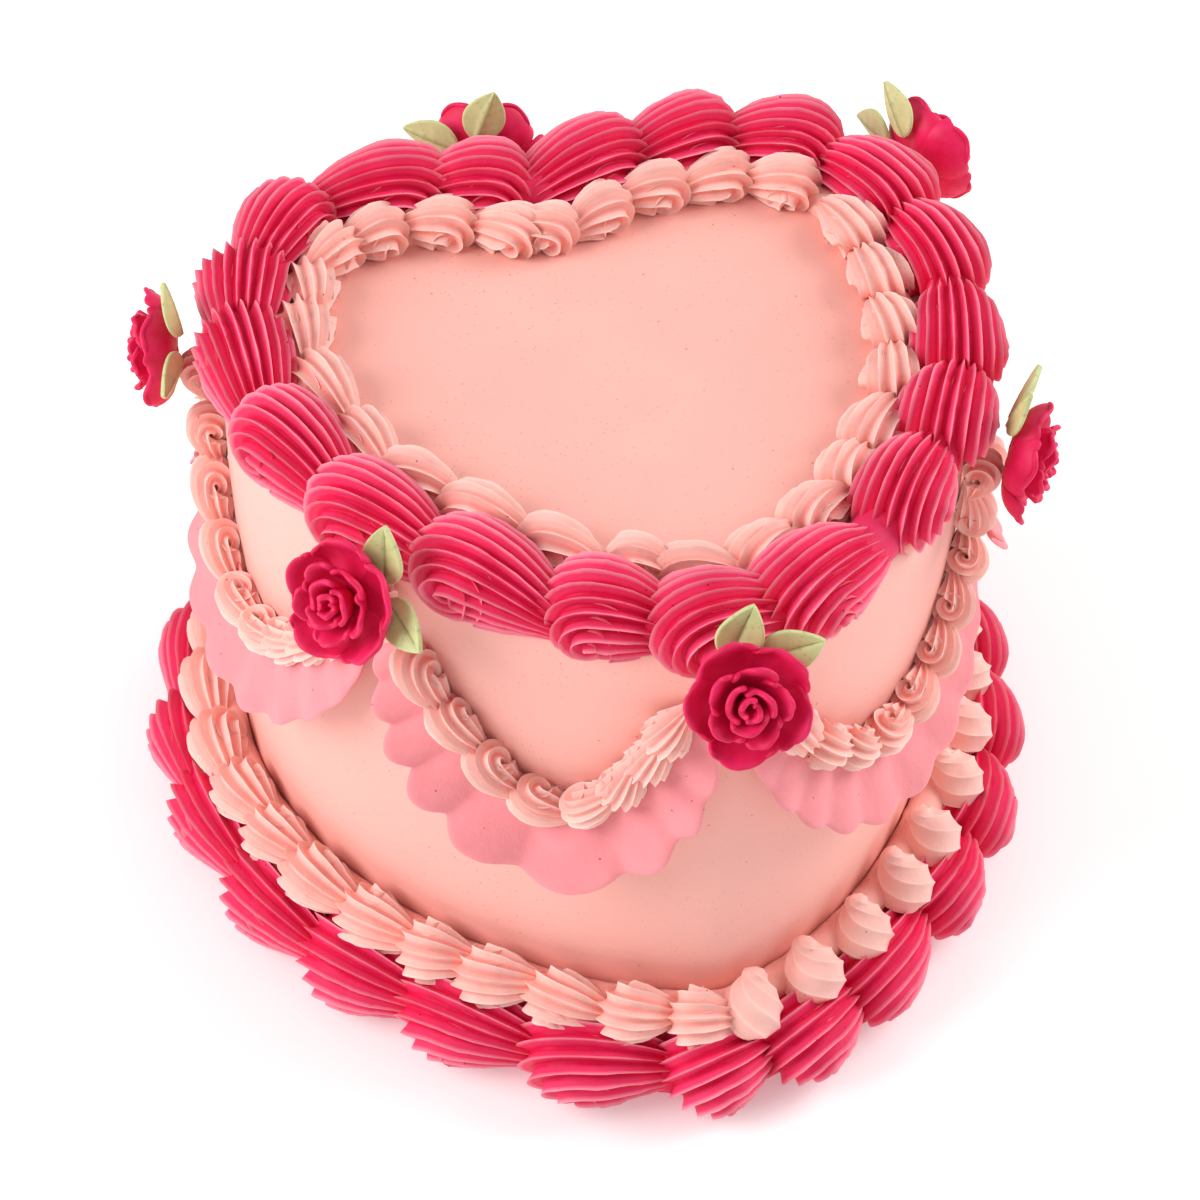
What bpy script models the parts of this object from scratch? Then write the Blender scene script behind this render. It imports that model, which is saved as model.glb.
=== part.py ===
"""A heart shaped layer cake, iced smooth and piped in the vintage way.

Metres, +Z up. The origin is on the surface that the cake stands on, under the middle of the whole cake.
The heart's cleft is at the back (+Y) and its tip at the front (-Y).

Everything piped round the cake is measured along a guide: a closed line at a fixed distance from the
wall, counter-clockwise as seen from above, from the cleft over the left lobe, the tip and the right lobe.
Shells are piped in that direction, so each shell's fat head covers the thin tail of the one before it.
"""

import math
import random

import bmesh
import bpy
import numpy as np
from mathutils import Matrix, Vector
from mathutils.geometry import interpolate_bezier

# The iced cake
CAKE_HEIGHT = 0.123
GAP = 0.0003
WALL_GAP = 0.0006

# The heart's outline: anchors of one half and the lengths of their handles
CLEFT = Vector((-0.0020, 0.0610))
CLEFT_HANDLE = Vector((0.0080, 0.0078))
LOBE_TOP = Vector((0.0358, 0.0699))
LOBE_HANDLES = (0.0157, 0.0242)
WIDEST = {-1: Vector((-0.0736, 0.0213)), 1: Vector((0.0750, 0.0213))}
WIDEST_HANDLES = (0.0253, 0.0470)
TIP = Vector((0.0030, -0.0699))
TIP_HANDLE = Vector((0.0330, 0.0065))
CURVE_STEPS = 60
WALL_POINTS = 88

# The inside of the cleft is rounded: the wall a little, the guides for piping more
GUIDE_STEP = 0.0010
WALL_ROUNDING = 0.0050
GUIDE_ROUNDING = 0.0150
ARC_STEPS = 10

# A shell along its own length: (place, share of the way from tail radius to head radius)
SHELL_STAGES = ((0.0, 0.0), (0.12, 0.80), (0.36, 1.0), (0.62, 0.72), (0.84, 0.28))
BEAD_STAGES = ((0.0, 0.0), (0.20, 1.0), (0.62, 0.72))
HEAD_BULGE = 0.35
SIZE_SPREAD = 0.05

# The hot pink shells along the top edge
TOP_GUIDE = -0.0045
TOP_SHELLS = 19
TOP_HEAD, TOP_TAIL = 0.0108, 0.0076
TOP_RISE = 0.37
TOP_RIDGE = 0.075
TOP_PROFILE = 13
TOP_START = -0.012

# The peach shells inside them, which meet them at a line measured from the same guide
INNER_SHELLS = 26
INNER_CENTRE = -0.0118
INNER_HEAD, INNER_TAIL = 0.0063, 0.0044
INNER_RISE = 0.62
INNER_RIDGE = 0.085
INNER_PROFILE = 7
BORDER_SEAM = -0.0087

# The hot pink shells round the base
BASE_GUIDE = 0.0107
BASE_SHELLS = 20
BASE_HEAD, BASE_TAIL = 0.0123, 0.0098
BASE_TO_WALL = 0.87
BASE_RISE = 0.91
BASE_RIDGE = 0.075
BASE_PROFILE = 11
BASE_START = -0.010

# The peach shells on top of them, and the sloping line where the two meet
COLLAR_SHELLS = 33
COLLAR_HEAD, COLLAR_TAIL = 0.0072, 0.0050
COLLAR_TO_WALL = 1.0
COLLAR_RISE = 0.84
COLLAR_RIDGE = 0.085
COLLAR_PROFILE = 7
SEAM_HEIGHT, SEAM_SLOPE = 0.0140, 0.30

# Six sugar roses: place along the wall, height of the centre, distance of its back from the wall, how far
# the face is tilted up, and for each of the two leaves where it starts and where it points. The tilt is in
# degrees, and so are the leaves' directions, clockwise from straight up as seen from in front of the rose
ROSES = (
    (0.0090, 0.1220, 0.0088, 6, ((18, -18), (58, 80))),
    (0.0870, 0.1180, 0.0085, 0, ((22, -10), (62, 84))),
    (0.1610, 0.1240, 0.0110, 26, ((45, -8), (72, 112))),
    (0.2290, 0.1245, 0.0105, 28, ((-24, 20), (25, 70))),
    (0.3055, 0.1190, 0.0082, -3, ((5, -10), (48, 60))),
    (0.3825, 0.1225, 0.0098, 4, ((15, 50), (70, 100))),
)
ROSE_RADIUS = 0.0115
PETALS = 5
STEPS_PER_PETAL = 4
# Rings of a rose from its back to its bud: (radius, height, depth of the notches, turn in petals)
ROSE_RINGS = (
    (0.42, 0.0000, 0.00, 0.0),
    (0.98, 0.0030, 0.13, 0.0),
    (0.88, 0.0052, 0.13, 0.0),
    (0.60, 0.0034, 0.05, 0.5),
    (0.55, 0.0072, 0.12, 0.5),
    (0.26, 0.0050, 0.05, 0.0),
)
ROSE_HEART = 0.0088

LEAF_LENGTH, LEAF_WIDTH, LEAF_THICKNESS = 0.0120, 0.0080, 0.0012
LEAF_START = 0.0068
LEAF_BEHIND = 0.0010
LEAF_LIFT = math.radians(8)
LEAF_FOLD = 0.0010
# Half widths along a leaf, from its stalk to its tip
LEAF_SHAPE = ((0.0, 0.22), (0.32, 0.95), (0.72, 0.75))

# The dab of icing that carries each rose: (share of the way from the wall to the rose's back, radius),
# and how far below the rose's centre it starts and ends. It starts clear of the border above it
DAB_START = 0.0008
DAB_RINGS = ((0.0, 0.0046), (0.5, 0.0047), (1.0, 0.0032))
DAB_DROPS = (0.0105, 0.0046)
DAB_HIGHEST = 0.1110
DAB_SIDES = 10
DAB_RIDGE = 0.12

# The swags hang from rose to rose: for each its two ends as place along the wall and height, how far it
# sags, and how much of the sag is moved towards its second end
SWAGS = (
    ((0.0160, 0.1050), (0.0800, 0.1010), 0.0280, 0.0),
    ((0.0915, 0.0930), (0.1500, 0.0995), 0.0200, -0.0020),
    ((0.1660, 0.1060), (0.2185, 0.1080), 0.0290, 0.0100),
    ((0.2380, 0.1040), (0.3085, 0.0915), 0.0230, -0.0040),
    ((0.3190, 0.1050), (0.3755, 0.1030), 0.0270, 0.0),
    ((0.3895, 0.1030), (0.4660, 0.1050), 0.0280, 0.0),
)
SWAG_PITCH = 0.0108
SWAG_HEAD, SWAG_TAIL = 0.0050, 0.0037
SWAG_RISE = 0.75
SWAG_RIDGE = 0.070
SWAG_PROFILE = 7
SWAG_STEP = 0.0005
SLOPE_STEP = 0.005

# The frill under each swag
FRILL_SEAT = 0.0017
FRILL_FLAT = 0.0053
FRILL_WIDTH, FRILL_END_WIDTH = 0.0145, 0.0066
FRILL_FLARE, FRILL_WAVE = 0.0095, 0.0026
FRILL_THICKNESS = 0.0012
FRILL_STATIONS = 17

# Finishes: colour, roughness
BLUSH = ((0.955, 0.610, 0.500), 0.55)
PEACH = ((0.960, 0.500, 0.390), 0.50)
HOT_PINK = ((0.800, 0.030, 0.130), 0.45)
FRILL_PINK = ((0.900, 0.330, 0.380), 0.50)
ROSE_RED = ((0.560, 0.008, 0.070), 0.60)
LEAF_GREEN = ((0.500, 0.580, 0.300), 0.60)


def half_outline(side):
    """Points of one half of the heart, from the cleft to just before the tip. side is -1 or 1."""
    mirror = Vector((side, 1.0))
    lobe = LOBE_TOP * mirror
    widest = WIDEST[side]
    sections = (
        (CLEFT, CLEFT + CLEFT_HANDLE * mirror, lobe - Vector((side * LOBE_HANDLES[0], 0)), lobe),
        (lobe, lobe + Vector((side * LOBE_HANDLES[1], 0)), widest + Vector((0, WIDEST_HANDLES[0])), widest),
        (widest, widest - Vector((0, WIDEST_HANDLES[1])), TIP + TIP_HANDLE * mirror, TIP),
    )
    points = []
    for section in sections:
        points.extend(interpolate_bezier(*section, CURVE_STEPS)[:-1])
    return [tuple(p[:2]) for p in points]


def resampled(points, step):
    """A closed line's points, evenly spaced about step apart, and its length."""
    closed = np.vstack([points, points[:1]])
    lengths = np.concatenate([[0.0], np.cumsum(np.linalg.norm(np.diff(closed, axis=0), axis=1))])
    count = max(8, round(lengths[-1] / step))
    places = np.linspace(0.0, lengths[-1], count, endpoint=False)
    return np.column_stack([np.interp(places, lengths, closed[:, i]) for i in (0, 1)]), lengths[-1]


def outward_normals(points):
    """The outward direction at each point of a counter-clockwise closed line."""
    along = np.roll(points, -1, axis=0) - np.roll(points, 1, axis=0)
    along /= np.linalg.norm(along, axis=1, keepdims=True)
    return np.column_stack([along[:, 1], -along[:, 0]])


def moved_out(points, distance, rounding):
    """A closed line moved outward, with its one inside corner, at the cleft, rounded to a radius."""
    normals = outward_normals(points)
    reach = distance + rounding
    tips = points + normals * reach
    apart = np.linalg.norm(tips[:, None] - points[None], axis=2).min(axis=1)
    kept = np.flatnonzero(apart > reach - GUIDE_STEP / 10)
    moved = points + normals * distance
    first, last = kept[0], kept[-1]
    middle = (tips[first] + tips[last]) / 2
    start = math.atan2(*(moved[last] - middle)[::-1])
    turn = (math.atan2(*(moved[first] - middle)[::-1]) - start) % (2 * math.pi) - 2 * math.pi
    angles = start + turn * np.linspace(0.0, 1.0, ARC_STEPS)[1:-1]
    corner = middle + rounding * np.column_stack([np.cos(angles), np.sin(angles)])
    half = len(corner) // 2
    return np.vstack([corner[half:], moved[kept], corner[:half]])


def heart_outline(step):
    """The wall's outline, counter-clockwise from the cleft."""
    left = half_outline(-1)
    right = half_outline(1)
    whole = resampled(np.array(left + [tuple(TIP)] + right[:0:-1]), GUIDE_STEP)[0]
    return resampled(moved_out(whole, 0.0, WALL_ROUNDING), step)[0]


class Guide:
    """A closed line round the cake at one distance from its wall."""

    def __init__(self, distance):
        wall = heart_outline(GUIDE_STEP)
        self.points, self.length = resampled(moved_out(wall, distance, GUIDE_ROUNDING), GUIDE_STEP)
        self.normals = outward_normals(self.points)

    def place(self, along, out, up):
        """The point this far along the guide, out from it and up."""
        spot = (along % self.length) / self.length * len(self.points)
        first = int(spot) % len(self.points)
        second = (first + 1) % len(self.points)
        share = spot - int(spot)
        point = self.points[first] * (1 - share) + self.points[second] * share
        normal = self.normals[first] * (1 - share) + self.normals[second] * share
        normal /= np.linalg.norm(normal)
        return Vector((*(point + normal * out), up))

    def normal(self, along):
        return (self.place(along, 1.0, 0.0) - self.place(along, 0.0, 0.0)).normalized()


def material(name, finish):
    colour, roughness = finish
    made = bpy.data.materials.new(name)
    made.use_nodes = True
    shader = made.node_tree.nodes["Principled BSDF"]
    shader.inputs["Base Color"].default_value = (*colour, 1.0)
    shader.inputs["Roughness"].default_value = roughness
    shader.inputs["Metallic"].default_value = 0.0
    return made


def object_of(name, mesh, finish):
    """A shaded object in the scene, with the crests and edges of its mesh kept sharp."""
    mesh.shade_smooth()
    mesh.set_sharp_from_angle(angle=math.radians(30))
    mesh.materials.append(finish)
    made = bpy.data.objects.new(name, mesh)
    bpy.context.scene.collection.objects.link(made)
    return made


def swept_mesh(name, sections, closed):
    """One closed solid through sections, which are lists of as many points each."""
    shape = bmesh.new()
    rings = [[shape.verts.new(point) for point in section] for section in sections]
    last = len(rings) if closed else len(rings) - 1
    for i in range(last):
        ring, following = rings[i], rings[(i + 1) % len(rings)]
        for j in range(len(ring)):
            k = (j + 1) % len(ring)
            shape.faces.new((ring[j], ring[k], following[k], following[j]))
    if not closed:
        shape.faces.new(rings[0])
        shape.faces.new(rings[-1])
    bmesh.ops.recalc_face_normals(shape, faces=shape.faces)
    bmesh.ops.triangulate(shape, faces=shape.faces)
    mesh = bpy.data.meshes.new(name)
    shape.to_mesh(mesh)
    shape.free()
    return mesh


def arc(radius, ridge, centre, start, end, count):
    """Points (out, up) round a ridged circle: every other point is a crest, and the two ends are plain."""
    points = []
    for i in range(count):
        turn = start + (end - start) * i / (count - 1)
        wave = 0.0 if i in (0, count - 1) else ridge * (1 if i % 2 else -1)
        reach = radius * (1 + wave)
        points.append((centre[0] + reach * math.cos(turn), centre[1] + reach * math.sin(turn)))
    return points


def shell_stations(count, length, stages, head, tail, draw):
    """(place along the guide, radius) of every section of a row of shells."""
    pitch = length / count
    for i in range(count):
        size = 1 + SIZE_SPREAD * draw.uniform(-1, 1)
        for place, share in stages:
            yield (i + place) * pitch, tail + (head * size - tail) * share


def border(name, guide, start, stations, profile, facing, finish):
    """A row of shells round the cake. Points that face the way the shells bulge lag behind the others."""
    sections = []
    for along, radius in stations:
        section = []
        for out, up, turn in profile(radius):
            lag = HEAD_BULGE * radius * max(0.0, math.cos(turn - facing))
            section.append(guide.place(start + along - lag, out, up))
        sections.append(section)
    return object_of(name, swept_mesh(name, sections, closed=True), finish)


def with_turns(points, centre):
    """The same points, each with its direction from the section's centre."""
    return [(out, up, math.atan2(up - centre[1], out - centre[0])) for out, up in points]


def top_profile(radius):
    """Round a section that sits over the cake's top edge: the arc, and the edge's corner cut out of it."""
    corner = (WALL_GAP - TOP_GUIDE, CAKE_HEIGHT + GAP)
    centre = (0.0, CAKE_HEIGHT + TOP_RISE * radius)
    start = math.pi + math.asin(TOP_RISE - GAP / radius)
    end = -math.acos(corner[0] / radius)
    points = arc(radius, TOP_RIDGE, centre, start, end, TOP_PROFILE)
    points = [(max(out, BORDER_SEAM + WALL_GAP), up) for out, up in points]
    return with_turns(points + [corner], centre)


def inner_profile(radius):
    """Round a section that stands on the cake's top and leans on the hot pink border."""
    centre = (INNER_CENTRE, CAKE_HEIGHT + INNER_RISE * radius)
    foot = math.asin(INNER_RISE - GAP / radius)
    points = arc(radius, INNER_RIDGE, centre, math.pi + foot, -foot, INNER_PROFILE)
    return with_turns([(min(out, BORDER_SEAM), up) for out, up in points], centre)


def seam_height(from_wall):
    return SEAM_HEIGHT + SEAM_SLOPE * from_wall


def base_profile(radius):
    """Round a section in the corner between the wall and the surface that the cake stands on."""
    centre = (BASE_TO_WALL * radius - BASE_GUIDE, BASE_RISE * radius)
    wall = WALL_GAP - BASE_GUIDE
    start = -math.asin(BASE_RISE)
    end = math.acos((wall - centre[0]) / radius)
    points = arc(radius, BASE_RIDGE, centre, start, end, BASE_PROFILE)
    points = [(out, min(up, seam_height(out + BASE_GUIDE))) for out, up in points]
    return with_turns([(wall, 0.0)] + points, centre)


def collar_profile(radius):
    """Round a section in the corner between the wall and the hot pink shells under it."""
    from_wall = COLLAR_TO_WALL * radius
    centre = (from_wall - BASE_GUIDE, seam_height(from_wall) + GAP + COLLAR_RISE * radius)
    wall = WALL_GAP - BASE_GUIDE
    lean = math.atan(SEAM_SLOPE)
    start = lean - math.asin(COLLAR_RISE * math.cos(lean))
    end = math.acos((wall - centre[0]) / radius)
    points = arc(radius, COLLAR_RIDGE, centre, start, end, COLLAR_PROFILE)
    points = [(out, max(up, seam_height(out + BASE_GUIDE) + GAP)) for out, up in points]
    return with_turns([(wall, seam_height(GAP) + GAP)] + points, centre)


def cake_body(finish):
    """The iced cake: the heart, straight up from the surface that it stands on."""
    outline = heart_outline(resampled(heart_outline(GUIDE_STEP), GUIDE_STEP)[1] / WALL_POINTS)
    sections = [[Vector((*point, up)) for point in outline] for up in (0.0, CAKE_HEIGHT)]
    return object_of("cake_body", swept_mesh("cake_body", sections, closed=False), finish)


def add_borders(hot_pink, peach, draw):
    up_and_out = math.radians(60)
    top = Guide(TOP_GUIDE)
    stations = shell_stations(TOP_SHELLS, top.length, SHELL_STAGES, TOP_HEAD, TOP_TAIL, draw)
    border("top_border", top, TOP_START, stations, top_profile, up_and_out, hot_pink)
    stations = shell_stations(INNER_SHELLS, top.length, BEAD_STAGES, INNER_HEAD, INNER_TAIL, draw)
    border("top_inner_border", top, 0.0, stations, inner_profile, math.pi - up_and_out, peach)
    base = Guide(BASE_GUIDE)
    stations = shell_stations(BASE_SHELLS, base.length, SHELL_STAGES, BASE_HEAD, BASE_TAIL, draw)
    border("base_border", base, BASE_START, stations, base_profile, up_and_out, hot_pink)
    stations = shell_stations(COLLAR_SHELLS, base.length, BEAD_STAGES, COLLAR_HEAD, COLLAR_TAIL, draw)
    border("base_collar", base, 0.0, stations, collar_profile, up_and_out, peach)


class SwagLine:
    """The line of one swag on the wall, from just beyond one rose to just before the next."""

    def __init__(self, first, last, sag, shift):
        self.start, self.first = first
        self.span, self.last = last[0] - first[0], last[1]
        self.sag, self.shift = sag, shift
        steps = round(self.span / SWAG_STEP)
        self.shares = np.linspace(0.0, 1.0, steps + 1)
        lengths = np.hypot(self.span / steps, np.diff(self.height(self.shares)))
        self.lengths = np.concatenate([[0.0], np.cumsum(lengths)])
        self.length = self.lengths[-1]

    def height(self, share):
        sag = self.sag + self.shift * (2 * share - 1)
        return self.first + (self.last - self.first) * share - sag * 4 * share * (1 - share)

    def spot(self, distance):
        """(along the wall, height, slope angle) this far along the swag."""
        share = float(np.interp(distance, self.lengths, self.shares))
        before, after = max(share - SLOPE_STEP, 0.0), min(share + SLOPE_STEP, 1.0)
        slope = (self.height(after) - self.height(before)) / ((after - before) * self.span)
        return self.start + self.span * share, self.height(share), math.atan(slope)

    def section(self, wall, distance, profile):
        """Points of a section, given as (across the swag, out from the wall)."""
        along, up, angle = self.spot(distance)
        return [
            wall.place(along - across * math.sin(angle), out, up + across * math.cos(angle))
            for across, out in profile
        ]


def swag_profile(radius):
    """Round a section on the wall, with a step cut under it where the frill's edge lies."""
    middle = SWAG_RISE * radius
    start = math.pi + math.asin((middle - GAP) / radius)
    end = -math.asin((middle - FRILL_SEAT - GAP) / radius)
    points = arc(radius, SWAG_RIDGE, (0.0, middle), end, start, SWAG_PROFILE)
    points = [(-across, out) for across, out in points]
    step = GAP * 2
    return points + [(step, GAP), (step, FRILL_SEAT + GAP)]


def add_swag(name, wall, line, finish, draw):
    beads = round(line.length / SWAG_PITCH)
    profiles = shell_stations(beads, line.length, BEAD_STAGES, SWAG_HEAD, SWAG_TAIL, draw)
    sections = [line.section(wall, place, swag_profile(radius)) for place, radius in profiles]
    sections.append(line.section(wall, line.length, swag_profile(SWAG_TAIL)))
    object_of(name, swept_mesh(name, sections, closed=False), finish)


def frill_profile(share, crest):
    """The frill's section: flat under the swag, then flaring out to a wavy free edge."""
    spread = math.sin(math.pi * share) ** 0.5
    width = FRILL_END_WIDTH + (FRILL_WIDTH - FRILL_END_WIDTH) * spread
    edge = FRILL_FLARE * spread + (FRILL_WAVE if crest else -FRILL_WAVE) * spread
    back = max(GAP, edge - FRILL_THICKNESS / 2)
    return [
        (0.0, GAP),
        (-FRILL_FLAT, GAP),
        (-width, back),
        (-width, back + FRILL_THICKNESS),
        (-FRILL_FLAT, FRILL_SEAT),
    ]


def add_frill(name, wall, line, finish):
    sections = []
    for i in range(FRILL_STATIONS):
        share = i / (FRILL_STATIONS - 1)
        sections.append(line.section(wall, line.length * share, frill_profile(share, i % 2)))
    object_of(name, swept_mesh(name, sections, closed=False), finish)


def rose_mesh():
    """A rose that faces +Z: rings of notched petals, each ring standing inside the last."""
    steps = PETALS * STEPS_PER_PETAL
    sections = []
    for radius, height, notch, turned in ROSE_RINGS:
        section = []
        for i in range(steps):
            turn = 2 * math.pi * i / steps
            petal = PETALS * turn / 2 + math.pi * turned
            reach = ROSE_RADIUS * radius * (1 - notch + notch * abs(math.sin(petal)))
            section.append(Vector((reach * math.cos(turn), reach * math.sin(turn), height)))
        sections.append(section)
    mesh = swept_mesh("rose", sections, closed=False)
    shape = bmesh.new()
    shape.from_mesh(mesh)
    bud_height = ROSE_RINGS[-1][1]
    flat = [f for f in shape.faces if all(abs(v.co.z - bud_height) < GAP / 10 for v in f.verts)]
    hollow = bmesh.ops.poke(shape, faces=bmesh.ops.dissolve_faces(shape, faces=flat)["region"])["verts"][0]
    hollow.co.z = ROSE_HEART
    shape.to_mesh(mesh)
    shape.free()
    return mesh


def leaf_mesh():
    """A leaf along +Y with its upper face to +Z, folded up a little on both sides of its midrib."""
    sections = []
    for place, share in LEAF_SHAPE:
        half = LEAF_WIDTH / 2 * share
        along = LEAF_LENGTH * place
        lift = LEAF_FOLD * share
        under, over = -LEAF_THICKNESS / 2, LEAF_THICKNESS / 2
        sections.append([
            Vector((-half, along, under + lift)),
            Vector((0.0, along, under)),
            Vector((half, along, under + lift)),
            Vector((half, along, over + lift)),
            Vector((0.0, along, over)),
            Vector((-half, along, over + lift)),
        ])
    narrow = LEAF_THICKNESS / 3
    under_tip = [Vector((x, LEAF_LENGTH, -narrow)) for x in (-narrow, 0.0, narrow)]
    over_tip = [Vector((x, LEAF_LENGTH, narrow)) for x in (narrow, 0.0, -narrow)]
    sections.append(under_tip + over_tip)
    return swept_mesh("leaf", sections, closed=False)


def dab_mesh(up, back, tilt):
    """A ridged dab of icing that stands out along +Z and turns up towards the back of a tilted rose."""
    sections = []
    end = back + DAB_DROPS[1] * math.tan(tilt) - GAP * 2
    first_drop = max(DAB_DROPS[0], up - DAB_HIGHEST)
    for share, radius in DAB_RINGS:
        out = DAB_START + (end - DAB_START) * share
        drop = first_drop + (DAB_DROPS[1] - first_drop) * share
        section = []
        for i in range(DAB_SIDES):
            turn = 2 * math.pi * i / DAB_SIDES
            reach = radius * (1 - DAB_RIDGE * (i % 2))
            point = Vector((reach * math.cos(turn), reach * math.sin(turn), 0.0))
            point.rotate(Matrix.Rotation(-tilt * share, 3, "X"))
            section.append(point + Vector((0.0, -drop, out)))
        sections.append(section)
    return swept_mesh("dab", sections, closed=False)


def wall_frame(wall, along, up):
    """A placement on the wall: X along it, Y up and Z straight out."""
    out = wall.normal(along)
    right = Vector((0, 0, 1)).cross(out)
    turned = Matrix((right, Vector((0, 0, 1)), out)).transposed()
    return Matrix.LocRotScale(wall.place(along, 0.0, up), turned, None)


def add_rose(number, wall, place, meshes, finishes):
    """One rose with its two leaves and its dab, all carried by an empty on the wall."""
    along, up, back, degrees, leaves = place
    tilt = math.radians(degrees)
    anchor = bpy.data.objects.new(f"rose_anchor_{number}", None)
    bpy.context.scene.collection.objects.link(anchor)
    anchor.matrix_world = wall_frame(wall, along, up)

    dab = object_of(f"rose_dab_{number}", dab_mesh(up, back, tilt), finishes["peach"])
    dab.parent = anchor

    rose = object_of(f"rose_{number}", meshes["rose"].copy(), finishes["rose"])
    rose.parent = anchor
    rose.location = (0.0, 0.0, back)
    rose.rotation_euler = (-tilt, 0.0, 0.0)

    for letter, (start, turn) in zip("ab", leaves):
        leaf = object_of(f"leaf_{number}{letter}", meshes["leaf"].copy(), finishes["leaf"])
        leaf.parent = rose
        leaf.matrix_local = (
            Matrix.Rotation(-math.radians(start), 4, "Z")
            @ Matrix.Translation((0.0, LEAF_START, -LEAF_BEHIND))
            @ Matrix.Rotation(-math.radians(turn - start), 4, "Z")
            @ Matrix.Rotation(LEAF_LIFT, 4, "X")
        )


def build():
    for old in list(bpy.data.objects):
        bpy.data.objects.remove(old)
    draw = random.Random(7)
    finishes = {
        "peach": material("peach_icing", PEACH),
        "rose": material("rose_sugar", ROSE_RED),
        "leaf": material("leaf_sugar", LEAF_GREEN),
    }
    hot_pink = material("hot_pink_icing", HOT_PINK)
    frill_pink = material("frill_icing", FRILL_PINK)
    cake_body(material("blush_icing", BLUSH))
    add_borders(hot_pink, finishes["peach"], draw)

    wall = Guide(0.0)
    meshes = {"rose": rose_mesh(), "leaf": leaf_mesh()}
    for number, (place, swag) in enumerate(zip(ROSES, SWAGS), 1):
        add_rose(number, wall, place, meshes, finishes)
        line = SwagLine(*swag)
        add_swag(f"swag_{number}", wall, line, finishes["peach"], draw)
        add_frill(f"frill_{number}", wall, line, frill_pink)


build()
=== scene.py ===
"""The looks of a heart shaped cake: piped icing, frills, sugar roses and leaves, on a plain pale floor."""

import math
import random
import bmesh
import bpy
import numpy as np
from mathutils import Matrix, Vector
from mathutils.geometry import interpolate_bezier


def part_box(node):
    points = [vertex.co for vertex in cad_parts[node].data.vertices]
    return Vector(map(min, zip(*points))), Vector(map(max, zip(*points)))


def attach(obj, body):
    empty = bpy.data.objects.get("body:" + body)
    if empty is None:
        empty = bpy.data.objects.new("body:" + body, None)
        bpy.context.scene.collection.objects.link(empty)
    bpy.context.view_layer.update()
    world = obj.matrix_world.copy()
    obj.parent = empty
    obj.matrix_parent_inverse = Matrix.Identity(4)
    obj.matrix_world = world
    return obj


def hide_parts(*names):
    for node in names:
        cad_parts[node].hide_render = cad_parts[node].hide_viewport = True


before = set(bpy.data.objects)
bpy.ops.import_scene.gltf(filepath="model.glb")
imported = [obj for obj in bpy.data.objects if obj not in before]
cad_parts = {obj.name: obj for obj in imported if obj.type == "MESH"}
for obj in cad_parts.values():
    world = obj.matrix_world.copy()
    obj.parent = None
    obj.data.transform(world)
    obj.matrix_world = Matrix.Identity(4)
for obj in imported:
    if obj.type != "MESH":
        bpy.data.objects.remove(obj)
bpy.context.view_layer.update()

MM = 0.001

# The iced cake, and the anchors and handles of its heart, in metres
CAKE_HEIGHT = 0.123
CLEFT = Vector((-0.0020, 0.0610))
CLEFT_HANDLE = Vector((0.0080, 0.0078))
LOBE_TOP = Vector((0.0358, 0.0699))
LOBE_HANDLES = (0.0157, 0.0242)
WIDEST = {-1: Vector((-0.0736, 0.0213)), 1: Vector((0.0750, 0.0213))}
WIDEST_HANDLES = (0.0253, 0.0470)
TIP = Vector((0.0030, -0.0699))
TIP_HANDLE = Vector((0.0330, 0.0065))
CURVE_STEPS = 60
GUIDE_STEP = 0.0010
WALL_ROUNDING = 0.0050
GUIDE_ROUNDING = 0.0150
ARC_STEPS = 10

# The body's mesh: rings up the wall, two more round its top edge, and rings over the top
OUTLINE_STEP = 2.5 * MM
WALL_RINGS, TOP_RINGS = 40, 26
EDGE = 2.0 * MM
EDGE_RINGS = ((0.7, 0.993), (0.3, 0.985))
TOP_MIDDLE = (0, 0.004, CAKE_HEIGHT)
LEAST_SHRINK = 0.5

# Where each shell sits along the guide of its row, counter-clockwise from the cleft
TOP_PLACES = (
    0.0095, 0.0285, 0.0535, 0.0735, 0.0930, 0.1175, 0.1415, 0.1660, 0.1905, 0.2100,
    0.2320, 0.2620, 0.2850, 0.3060, 0.3310, 0.3545, 0.3780, 0.3995, 0.4210,
)
BASE_PLACES = (
    0.1110, 0.1335, 0.1585, 0.1830, 0.2080, 0.2350, 0.2610, 0.2815, 0.3040, 0.3300, 0.3525, 0.3760, 0.3995,
)
INNER_PLACES = (
    0.0080, 0.0220, 0.0355, 0.0460, 0.0580, 0.0695, 0.0850, 0.1025, 0.1165, 0.1310, 0.1480, 0.1635, 0.1740,
    0.1970, 0.2115, 0.2250, 0.2370, 0.2525, 0.2665, 0.2810, 0.2960, 0.3150, 0.3290, 0.3425, 0.3560, 0.3685,
)
COLLAR_PLACES = (
    0.1005, 0.1175, 0.1325, 0.1465, 0.1605, 0.1765, 0.1915, 0.2050, 0.2200, 0.2350, 0.2485, 0.2610, 0.2765,
    0.2920, 0.3075, 0.3215, 0.3385, 0.3535, 0.3685,
)

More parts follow.
